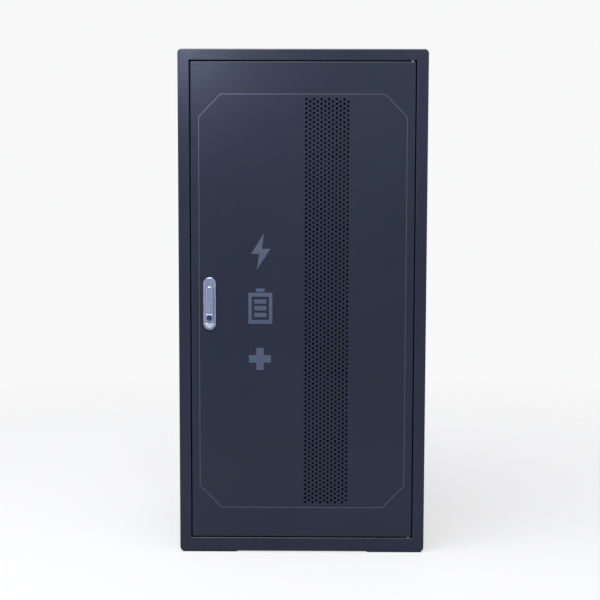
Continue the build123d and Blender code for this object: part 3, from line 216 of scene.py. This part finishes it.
COAT_DARK = (0.0100, 0.0127, 0.0250)
COAT_LIGHT = (0.0116, 0.0146, 0.0280)
coat = powder_coat("coat", COAT_DARK, COAT_LIGHT)
line_ink = cast_metal("line_ink", (0.112, 0.116, 0.148), (0.126, 0.13, 0.166), (0.36, 0.42))
print_ink = powder_coat("print_ink", (0.052, 0.066, 0.103), (0.057, 0.072, 0.111), (0.42, 0.5))
module_paint = powder_coat("module_paint", (0.010, 0.011, 0.013), (0.014, 0.015, 0.018), (0.5, 0.6))
zinc_casting = cast_metal("zinc_casting", (0.44, 0.48, 0.62), (0.51, 0.55, 0.69))
button_casting = cast_metal("button_casting", (0.80, 0.84, 0.80), (0.88, 0.91, 0.86), (0.36, 0.46))
lock_metal = cast_metal("lock_metal", (0.07, 0.09, 0.16), (0.10, 0.12, 0.20), (0.3, 0.42))
galvanised = zinc_sheet("galvanised")
bright_steel = turned_steel("bright_steel")
grip_steel = turned_steel("grip_steel", (0.55, 0.56, 0.58), (0.2, 0.34), (1, 1, 0.08))
button_steel = turned_steel("button_steel", (0.58, 0.59, 0.62), (0.22, 0.36), (1, 1, 0.1))
pin_steel = turned_steel("pin_steel", (0.30, 0.30, 0.37), (0.34, 0.46))
tinned = turned_steel("tinned", (0.66, 0.66, 0.64), (0.26, 0.4))
bar_copper = copper("bar_copper")
black_rubber = moulded("black_rubber", (0.010, 0.010, 0.011), (0.018, 0.018, 0.019), (0.7, 0.85), 700.0)
black_plastic = moulded("black_plastic", (0.014, 0.014, 0.016), (0.022, 0.022, 0.025))
red_plastic = moulded("red_plastic", (0.50, 0.030, 0.018), (0.58, 0.045, 0.026))
toggle_plastic = moulded("toggle_plastic", (0.10, 0.10, 0.11), (0.14, 0.14, 0.15), (0.35, 0.45))
display_plastic = moulded("display_plastic", (0.008, 0.009, 0.012), (0.012, 0.013, 0.017), (0.12, 0.2))
red_sheath = moulded("red_sheath", (0.48, 0.022, 0.014), (0.56, 0.032, 0.02), (0.4, 0.5), 500.0)
black_sheath = moulded("black_sheath", (0.012, 0.012, 0.013), (0.02, 0.02, 0.021), (0.4, 0.5), 500.0)
grey_sheath = moulded("grey_sheath", (0.016, 0.016, 0.019), (0.024, 0.024, 0.028), (0.45, 0.55), 500.0)
board = circuit_board("board")
film = cell_film("film")
charge_glow = glow("charge_glow", (0.10, 0.85, 0.45), 0.5)
run_glow = glow("run_glow", (0.20, 0.95, 0.30), 0.6)

NODE_MATERIALS = {
    coat: ["front_frame", "left_side_panel", "right_side_panel", "top_panel", "rear_panel",
           "entry_plate", "door_panel", "base_pan", "foot_plates"],
    galvanised: ["front_rails", "rear_rails", "slot_runners",
                 "door_stiffeners", "lock_backplate", "cage_nuts"],
    module_paint: ["battery_cases", "battery_fronts"],
    zinc_casting: ["lock_housing", "swing_lever"],
    button_casting: ["release_button"],
    lock_metal: ["lock_cylinder"],
    pin_steel: ["hinge_pins"],
    bright_steel: ["handle_spindle", "latch_cam", "rack_screws", "panel_screws",
                   "m8_studs"],
    grip_steel: ["battery_handles"],
    bar_copper: ["busbar_positive", "busbar_negative"],
    tinned: ["lead_lugs"],
    black_rubber: ["door_seal", "cable_grommets"],
    black_plastic: ["negative_terminals", "negative_plugs", "breaker_bodies", "data_sockets",
                    "power_collars"],
    red_plastic: ["positive_terminals", "positive_plugs", "busbar_insulators"],
    toggle_plastic: [f"breaker_toggle_{n + 1}" for n in range(MODULES)],
    button_steel: [f"power_button_{n + 1}" for n in range(MODULES)],
    display_plastic: ["status_displays"],
    red_sheath: ["positive_leads"],
    black_sheath: ["negative_leads"],
    grey_sheath: ["data_leads", "data_plugs"],
    board: ["bms_boards"],
    film: ["cell_packs"],
}


def dress_nodes():
    """Puts each CAD node's material in all of its slots."""
    for material, names in NODE_MATERIALS.items():
        for name in names:
            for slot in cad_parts[name].material_slots:
                slot.link = "OBJECT"
                slot.material = material


SHARP_ANGLE = 40                        # degrees between faces that count as an edge
FOLD_R = 0.3 * MM
MOULD_R = 0.4 * MM


def soften_edges(name, width):
    """A small rounding on a CAD node's sharp edges, as folded or moulded parts have."""
    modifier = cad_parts[name].modifiers.new("edge_round", "BEVEL")
    modifier.width = width
    modifier.segments = 2
    modifier.limit_method = "ANGLE"
    modifier.angle_limit = math.radians(SHARP_ANGLE)
    modifier.harden_normals = False


# ------------------------------------------------------------------------------------
# Added pieces
# ------------------------------------------------------------------------------------

def make_piece(name, vertices, faces, material, body):
    """A mesh piece that rides on a body."""
    mesh = bpy.data.meshes.new(name)
    mesh.from_pydata([tuple(vertex) for vertex in vertices], [], faces)
    mesh.validate()
    mesh.materials.append(material)
    piece = bpy.data.objects.new(name, mesh)
    bpy.context.scene.collection.objects.link(piece)
    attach(piece, body)


def plate_from_outlines(outlines, front, thickness):
    """Vertices and faces of flat plates facing -Y, each outline a list of (x, z) points."""
    vertices = []
    faces = []
    for outline in outlines:
        start = len(vertices)
        count = len(outline)
        vertices += [(x, front, z) for x, z in outline]
        vertices += [(x, front + thickness, z) for x, z in outline]
        faces.append([start + n for n in range(count)])
        faces.append([start + count + n for n in reversed(range(count))])
        for n in range(count):
            after = (n + 1) % count
            faces.append([start + after, start + n, start + count + n, start + count + after])
    return vertices, faces


def ring_strips(outer, inner):
    """The four-sided outlines that fill the band between two loops of the same count."""
    count = len(outer)
    return [
        [outer[n], outer[(n + 1) % count], inner[(n + 1) % count], inner[n]]
        for n in range(count)
    ]


def octagon(half_w, low, high, cut_w, cut_h):
    """A rectangle with its corners cut off, as (x, z) points going round anticlockwise."""
    return [
        (-half_w + cut_w, low), (half_w - cut_w, low), (half_w, low + cut_h),
        (half_w, high - cut_h), (half_w - cut_w, high), (-half_w + cut_w, high),
        (-half_w, high - cut_h), (-half_w, low + cut_h),
    ]


INK_T = 0.12 * MM
LINE_W = 2.0 * MM


def printed_outline():
    """The fine octagonal line printed on the door."""
    half_w = 251 * MM
    low = 111 * MM
    high = 1119 * MM
    cut_w = 53 * MM
    cut_h = 55 * MM
    # the cut corners stay parallel when the loop is offset by the line's width
    slant = LINE_W * math.tan(math.radians(22.5))
    outer = octagon(half_w, low, high, cut_w, cut_h)
    inner = octagon(half_w - LINE_W, low + LINE_W, high - LINE_W, cut_w - LINE_W + slant,
                    cut_h - LINE_W + slant)
    vertices, faces = plate_from_outlines(ring_strips(outer, inner), DOOR_FACE - INK_T, INK_T)
    make_piece("printed_outline", vertices, faces, line_ink, "door")


def scaled(points, centre, width, height):
    """Points of a unit drawing, 0 to 1 each way, placed round a centre."""
    return [
        (centre[0] + (x - 0.5) * width, centre[1] + (z - 0.5) * height) for x, z in points
    ]


def rectangle(left, low, right, high):
    """The outline of an upright rectangle."""
    return [(left, low), (right, low), (right, high), (left, high)]


def print_symbol(name, drawings, centre, width, height):
    """One symbol of ink on the door, from unit outlines placed round its centre."""
    outlines = [scaled(drawing, centre, width, height) for drawing in drawings]
    vertices, faces = plate_from_outlines(outlines, DOOR_FACE - INK_T, INK_T)
    make_piece(name, vertices, faces, print_ink, "door")


def printed_symbols():
    """Three generic energy symbols printed down the door: a bolt, a cell and a plus sign."""
    bolt = [(0.62, 1.0), (0.12, 0.44), (0.44, 0.44), (0.34, 0.0), (0.88, 0.58), (0.55, 0.58)]
    print_symbol("printed_bolt", [bolt], (-101 * MM, 741 * MM), 62 * MM, 88 * MM)

    can = ring_strips(rectangle(0.0, 0.0, 1.0, 0.88), rectangle(0.14, 0.11, 0.86, 0.77))
    cap = rectangle(0.32, 0.91, 0.68, 1.0)
    charge = [rectangle(0.25, low, 0.75, low + 0.12) for low in (0.19, 0.38, 0.57)]
    print_symbol("printed_cell", can + [cap] + charge, (-102 * MM, 609 * MM), 58 * MM, 86 * MM)

    arm = 0.34
    arm_low = 0.5 - arm / 2
    arm_high = 0.5 + arm / 2
    upright = rectangle(arm_low, 0.0, arm_high, 1.0)
    left = rectangle(0.0, arm_low, arm_low, arm_high)
    right = rectangle(arm_high, arm_low, 1.0, arm_high)
    print_symbol("printed_plus", [upright, left, right], (-103 * MM, 480 * MM), 54 * MM, 54 * MM)


def charge_bars(number, middle):
    """The lit segments in one status display."""
    segments = 5
    pitch = 9.2 * MM
    bar_w = 6 * MM
    bar_h = 11 * MM
    bar_t = 0.4 * MM
    left = -44 * MM
    low = middle + 17 * MM
    stand_out = 2.4 * MM                # their lit faces, in front of the module's front
    outlines = []
    for step in range(segments):
        x = left + step * pitch
        outlines.append(rectangle(x, low, x + bar_w, low + bar_h))
    vertices, faces = plate_from_outlines(outlines, front_low.y - stand_out, bar_t)
    make_piece(f"charge_bars_{number}", vertices, faces, charge_glow, "cabinet")


def run_light(number, middle):
    """A small round run light beside one power button."""
    x = 120 * MM
    z = middle + 26 * MM
    radius = 2.4 * MM
    height = 1.2 * MM
    sides = 20
    outline = [
        (x + radius * math.cos(2 * math.pi * n / sides), z + radius * math.sin(2 * math.pi * n / sides))
        for n in range(sides)
    ]
    vertices, faces = plate_from_outlines([outline], front_low.y - height, height)
    make_piece(f"run_light_{number}", vertices, faces, run_glow, "cabinet")


# ------------------------------------------------------------------------------------
# Stage: floor, light and camera
# ------------------------------------------------------------------------------------

FLOOR_ALBEDO = (0.16, 0.16, 0.16)
FLOOR_GLOW = 0.635
FLOOR_BOUNCE = (0.30, 0.32, 0.385)
FLOOR_RADIUS = 7.0
FADE_START = 1.0                        # metres from the middle of the floor
FADE_END = 3.0
LENS = 74.44                            # millimetres on a 36 mm wide sensor
EYE = (0.018, -3.294, 0.892)
YAW = 0.456                             # degrees
LOOK_DOWN = 5.109
ROLL = 0.143


def pale_floor():
    """A wide pale disc that fades out into the backdrop, with only a faint shadow on it."""
    sides = 96
    angles = [2 * math.pi * n / sides for n in range(sides)]
    vertices = [
        (FLOOR_RADIUS * math.cos(angle), FLOOR_RADIUS * math.sin(angle), 0) for angle in angles
    ]
    mesh = bpy.data.meshes.new("floor")
    mesh.from_pydata(vertices, [], [list(range(sides))])
    floor = bpy.data.objects.new("floor", mesh)
    bpy.context.scene.collection.objects.link(floor)
    material, tree, shader = new_material("floor_paint", FLOOR_ALBEDO, 0.9, specular=0.05)
    shader.inputs["Emission Color"].default_value = (0.995, 0.995, 1.0, 1.0)
    shader.inputs["Emission Strength"].default_value = FLOOR_GLOW
    distance = tree.nodes.new("ShaderNodeVectorMath")
    distance.operation = "LENGTH"
    tree.links.new(place(tree), distance.inputs[0])
    fade = tree.nodes.new("ShaderNodeMapRange")
    fade.interpolation_type = "SMOOTHSTEP"
    fade.inputs["From Min"].default_value = FADE_START
    fade.inputs["From Max"].default_value = FADE_END
    fade.inputs["To Min"].default_value = 1.0
    fade.inputs["To Max"].default_value = 0.0
    tree.links.new(distance.outputs["Value"], fade.inputs["Value"])
    tree.links.new(fade.outputs["Result"], shader.inputs["Alpha"])
    # what the floor gives back to the cabinet is dimmer than what the camera sees of it
    bounce = tree.nodes.new("ShaderNodeBsdfDiffuse")
    bounce.inputs["Color"].default_value = (*FLOOR_BOUNCE, 1.0)
    rays = tree.nodes.new("ShaderNodeLightPath")
    choose = tree.nodes.new("ShaderNodeMixShader")
    tree.links.new(rays.outputs["Is Camera Ray"], choose.inputs["Fac"])
    tree.links.new(bounce.outputs["BSDF"], choose.inputs[1])
    tree.links.new(shader.outputs["BSDF"], choose.inputs[2])
    tree.links.new(choose.outputs["Shader"], tree.nodes["Material Output"].inputs["Surface"])
    mesh.materials.append(material)


def backdrop_and_sky():
    """White backdrop for the camera; what lights the object is darker towards the floor side."""
    world = bpy.data.worlds.new("studio")
    bpy.context.scene.world = world
    world.use_nodes = True
    tree = world.node_tree
    tree.nodes.clear()
    output = tree.nodes.new("ShaderNodeOutputWorld")
    choose = tree.nodes.new("ShaderNodeMixShader")
    rays = tree.nodes.new("ShaderNodeLightPath")
    seen = tree.nodes.new("ShaderNodeBackground")
    seen.inputs["Color"].default_value = (0.945, 0.945, 0.95, 1.0)
    lighting = tree.nodes.new("ShaderNodeBackground")
    lighting.inputs["Strength"].default_value = 0.77
    direction = tree.nodes.new("ShaderNodeTexCoord")
    split = tree.nodes.new("ShaderNodeSeparateXYZ")
    ramp = tree.nodes.new("ShaderNodeValToRGB")
    ramp.color_ramp.elements[0].position = 0.0
    ramp.color_ramp.elements[0].color = (0.53, 0.56, 0.66, 1.0)
    ramp.color_ramp.elements[1].position = 0.9
    ramp.color_ramp.elements[1].color = (1.0, 1.0, 1.05, 1.0)
    tree.links.new(direction.outputs["Generated"], split.inputs["Vector"])
    tree.links.new(split.outputs["Z"], ramp.inputs["Fac"])
    tree.links.new(ramp.outputs["Color"], lighting.inputs["Color"])
    tree.links.new(rays.outputs["Is Camera Ray"], choose.inputs["Fac"])
    tree.links.new(lighting.outputs["Background"], choose.inputs[1])
    tree.links.new(seen.outputs["Background"], choose.inputs[2])
    tree.links.new(choose.outputs["Shader"], output.inputs["Surface"])


def soft_box(name, position, target, size, power, color=(1.0, 1.0, 1.0)):
    """A square soft light that faces a target point."""
    data = bpy.data.lights.new(name, "AREA")
    data.shape = "RECTANGLE"
    data.size = size[0]
    data.size_y = size[1]
    data.energy = power
    data.color = color
    light = bpy.data.objects.new(name, data)
    bpy.context.scene.collection.objects.link(light)
    light.location = position
    aim = Vector(target) - Vector(position)
    light.rotation_euler = aim.to_track_quat("-Z", "Y").to_euler()


def studio_lights():
    """Two small soft lights at the door's upper corners, and broad ones round and above it."""
    soft_box("key", (-0.43, -1.2, 1.41), (-0.33, -0.3, 1.25), (0.25, 0.25), 3.7, (0.63, 0.74, 1.0))
    soft_box("sheen", (0.75, -2.2, 1.85), (0.3, -0.3, 1.25), (0.4, 0.4), 2.2, (0.95, 0.97, 1.0))
    soft_box("side", (-3.2, -3.2, 1.0), (-0.2, -0.3, 0.8), (2.0, 2.0), 34, (0.95, 0.96, 1.0))
    soft_box("fill", (3.0, -3.4, 0.9), (0, 0, 0.8), (2.0, 2.0), 17, (0.97, 0.98, 1.0))
    soft_box("top", (-0.5, -1.05, 3.3), (0, -0.2, 0.8), (2.4, 2.0), 185)
    soft_box("back", (0.5, 4.2, 2.6), (0, 0, 0.6), (2.5, 2.0), 50)


def camera_in_front():
    """Straight in front of the door, nearly a metre up and looking slightly down."""
    data = bpy.data.cameras.new("camera")
    data.sensor_width = 36.0
    data.lens = LENS
    data.clip_end = 60.0
    camera = bpy.data.objects.new("camera", data)
    bpy.context.scene.collection.objects.link(camera)
    yaw = Matrix.Rotation(math.radians(YAW), 4, "Z")
    pitch = Matrix.Rotation(math.radians(90 - LOOK_DOWN), 4, "X")
    roll = Matrix.Rotation(math.radians(ROLL), 4, "Z")
    camera.matrix_world = Matrix.Translation(EYE) @ yaw @ pitch @ roll
    bpy.context.scene.camera = camera


camera_in_front()
pale_floor()
backdrop_and_sky()
studio_lights()
dress_nodes()
for folded in ("front_frame", "top_panel", "base_pan", "left_side_panel", "right_side_panel"):
    soften_edges(folded, FOLD_R)
for moulding in ("battery_fronts", "status_displays", "breaker_bodies", "rack_screws", "data_plugs",
                 "positive_plugs", "negative_plugs", "swing_lever", "power_collars"):
    soften_edges(moulding, MOULD_R)
printed_outline()
printed_symbols()
for module_number, module_middle in enumerate(MODULE_Z, start=1):
    charge_bars(module_number, module_middle)
    run_light(module_number, module_middle)
bpy.context.scene.view_settings.view_transform = "Standard"
